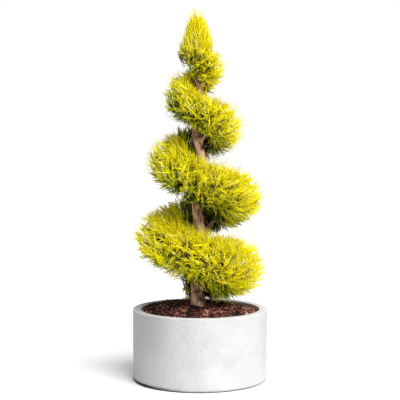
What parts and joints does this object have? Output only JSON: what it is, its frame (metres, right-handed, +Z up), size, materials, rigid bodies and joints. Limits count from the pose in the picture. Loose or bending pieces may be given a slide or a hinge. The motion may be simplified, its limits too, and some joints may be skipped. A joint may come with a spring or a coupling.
{
  "type": "spiral topiary",
  "caption": "Potted evergreen trained as a tapering spiral of clipped foliage round an upright trunk, in a low round concrete planter filled with bark mulch.",
  "frame": {"origin": "centre of the planter's flat underside", "axes": "+Z up along the trunk; -Y is the front, where the coil comes down in front of the trunk from the left lobe to the right one; +X to the viewer's right"},
  "size_m": [0.404, 0.404, 1.104],
  "materials": {
    "concrete": "fair-faced pale concrete, matt, with small pits",
    "bark_mulch": "dark red-brown bark chips",
    "bark": "grey-brown fissured bark",
    "foliage": "golden yellow to green feathery shoots, matt"
  },
  "bodies": {
    "root": {"planter": "concrete", "soil": "bark_mulch", "trunk": "bark", "bough_01": "bark", "bough_02": "bark", "bough_03": "bark", "bough_04": "bark", "bough_05": "bark", "bough_06": "bark", "bough_07": "bark", "bough_08": "bark", "bough_09": "bark", "bough_10": "bark", "bough_11": "bark", "bough_12": "bark", "bough_13": "bark", "foliage_tip": "foliage", "foliage_01": "foliage", "foliage_02": "foliage", "foliage_03": "foliage", "foliage_04": "foliage", "foliage_05": "foliage", "foliage_06": "foliage", "foliage_07": "foliage", "foliage_08": "foliage", "foliage_09": "foliage", "foliage_10": "foliage", "foliage_11": "foliage", "foliage_12": "foliage", "foliage_13": "foliage"}
  },
  "joints": []
}
